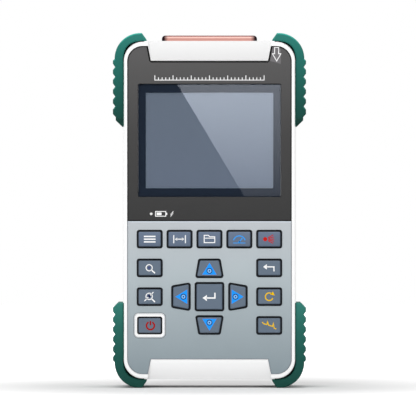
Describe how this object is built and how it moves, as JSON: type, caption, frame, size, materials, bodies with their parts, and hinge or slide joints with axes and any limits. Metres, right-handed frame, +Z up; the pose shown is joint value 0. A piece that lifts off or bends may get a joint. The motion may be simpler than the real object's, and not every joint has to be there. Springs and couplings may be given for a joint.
{
  "type": "optical time domain reflectometer",
  "caption": "Handheld fibre tester with a colour screen, rubber keys, four corner bumpers, a hinged dust cover over its optical ports and a folding stand.",
  "frame": {"origin": "on the desk under the centre of the box, with the tester standing upright", "axes": "+Z up along the tester, the screen and keys face -Y, +X to the right seen from the front"},
  "size_m": [0.1062, 0.0482, 0.1949],
  "materials": {
    "white_abs": "fine texture",
    "dark_panel": "satin",
    "grey_panel": "satin",
    "key_rubber": "matt",
    "teal_rubber": "matt",
    "red_cover": "translucent",
    "clear_window": "gloss",
    "display_glass": "satin",
    "light_pipe": "clear",
    "black_foam": "matt",
    "silicone": "matt",
    "dome_film": "satin",
    "circuit_board": "solder mask",
    "tinned_steel": "tin plated",
    "anodised_aluminium": "anodised",
    "black_plastic": "fine texture",
    "battery_wrap": "shrink film",
    "fibre_jacket": "smooth",
    "nickel_brass": "nickel plated",
    "zirconia": "polished",
    "steel": "zinc plated",
    "black_rubber": "matt"
  },
  "bodies": {
    "housing": {"battery_contacts": "black_plastic", "battery_door": "white_abs", "battery_pack": "battery_wrap", "board_screws": "steel", "board_shield": "tinned_steel", "bumper_lower_left": "teal_rubber", "bumper_lower_right": "teal_rubber", "bumper_upper_left": "teal_rubber", "bumper_upper_right": "teal_rubber", "case_screws": "steel", "case_seal": "black_foam", "charge_light": "light_pipe", "charging_socket": "black_plastic", "data_socket": "tinned_steel", "display_module": "display_glass", "display_panel": "dark_panel", "dome_sheet": "dome_film", "door_screws": "steel", "dust_cover_pin": "steel", "fibre_coil": "fibre_jacket", "fibre_tray": "black_plastic", "front_shell": "white_abs", "keypad_mat": "silicone", "keypad_panel": "grey_panel", "main_board": "circuit_board", "meter_adapter": "nickel_brass", "meter_sleeve": "zirconia", "optical_module": "anodised_aluminium", "port_tray": "black_plastic", "power_key_ring": "white_abs", "rear_feet": "black_rubber", "rear_shell": "white_abs", "red_light_adapter": "nickel_brass", "red_light_sleeve": "zirconia", "screen_seal": "black_foam", "screen_window": "clear_window", "socket_board": "circuit_board", "stand_pin": "steel", "test_adapter": "nickel_brass", "test_sleeve": "zirconia"},
    "dust_cover": {"dust_cover": "red_cover"},
    "key_back": {"key_back": "key_rubber"},
    "key_down": {"key_down": "key_rubber"},
    "key_enter": {"key_enter": "key_rubber"},
    "key_fault_light": {"key_fault_light": "key_rubber"},
    "key_file": {"key_file": "key_rubber"},
    "key_left": {"key_left": "key_rubber"},
    "key_live": {"key_live": "key_rubber"},
    "key_marker": {"key_marker": "key_rubber"},
    "key_menu": {"key_menu": "key_rubber"},
    "key_power": {"key_power": "key_rubber"},
    "key_power_meter": {"key_power_meter": "key_rubber"},
    "key_right": {"key_right": "key_rubber"},
    "key_scan": {"key_scan": "key_rubber"},
    "key_up": {"key_up": "key_rubber"},
    "key_zoom": {"key_zoom": "key_rubber"},
    "key_zoom_off": {"key_zoom_off": "key_rubber"},
    "stand": {"stand": "white_abs"}
  },
  "joints": [
    {"name": "key_back_press", "type": "slide", "parent": "housing", "child": "key_back", "axis": [0, 1, 0], "range_m": [0, 0.0008], "stiffness_N_per_m": 450},
    {"name": "key_down_press", "type": "slide", "parent": "housing", "child": "key_down", "axis": [0, 1, 0], "range_m": [0, 0.0008], "stiffness_N_per_m": 450},
    {"name": "key_enter_press", "type": "slide", "parent": "housing", "child": "key_enter", "axis": [0, 1, 0], "range_m": [0, 0.0008], "stiffness_N_per_m": 450},
    {"name": "key_fault_light_press", "type": "slide", "parent": "housing", "child": "key_fault_light", "axis": [0, 1, 0], "range_m": [0, 0.0008], "stiffness_N_per_m": 450},
    {"name": "key_file_press", "type": "slide", "parent": "housing", "child": "key_file", "axis": [0, 1, 0], "range_m": [0, 0.0008], "stiffness_N_per_m": 450},
    {"name": "key_left_press", "type": "slide", "parent": "housing", "child": "key_left", "axis": [0, 1, 0], "range_m": [0, 0.0008], "stiffness_N_per_m": 450},
    {"name": "key_live_press", "type": "slide", "parent": "housing", "child": "key_live", "axis": [0, 1, 0], "range_m": [0, 0.0008], "stiffness_N_per_m": 450},
    {"name": "key_marker_press", "type": "slide", "parent": "housing", "child": "key_marker", "axis": [0, 1, 0], "range_m": [0, 0.0008], "stiffness_N_per_m": 450},
    {"name": "key_menu_press", "type": "slide", "parent": "housing", "child": "key_menu", "axis": [0, 1, 0], "range_m": [0, 0.0008], "stiffness_N_per_m": 450},
    {"name": "key_power_press", "type": "slide", "parent": "housing", "child": "key_power", "axis": [0, 1, 0], "range_m": [0, 0.0008], "stiffness_N_per_m": 450},
    {"name": "key_power_meter_press", "type": "slide", "parent": "housing", "child": "key_power_meter", "axis": [0, 1, 0], "range_m": [0, 0.0008], "stiffness_N_per_m": 450},
    {"name": "key_right_press", "type": "slide", "parent": "housing", "child": "key_right", "axis": [0, 1, 0], "range_m": [0, 0.0008], "stiffness_N_per_m": 450},
    {"name": "key_scan_press", "type": "slide", "parent": "housing", "child": "key_scan", "axis": [0, 1, 0], "range_m": [0, 0.0008], "stiffness_N_per_m": 450},
    {"name": "key_up_press", "type": "slide", "parent": "housing", "child": "key_up", "axis": [0, 1, 0], "range_m": [0, 0.0008], "stiffness_N_per_m": 450},
    {"name": "key_zoom_press", "type": "slide", "parent": "housing", "child": "key_zoom", "axis": [0, 1, 0], "range_m": [0, 0.0008], "stiffness_N_per_m": 450},
    {"name": "key_zoom_off_press", "type": "slide", "parent": "housing", "child": "key_zoom_off", "axis": [0, 1, 0], "range_m": [0, 0.0008], "stiffness_N_per_m": 450},
    {"name": "dust_cover_hinge", "type": "hinge", "parent": "housing", "child": "dust_cover", "pos_m": [0, 0.0176, 0.1924], "axis": [-1, 0, 0], "range_deg": [0, 110]},
    {"name": "stand_hinge", "type": "hinge", "parent": "housing", "child": "stand", "pos_m": [0, 0.0205, 0.166], "axis": [1, 0, 0], "range_deg": [0, 50]}
  ]
}
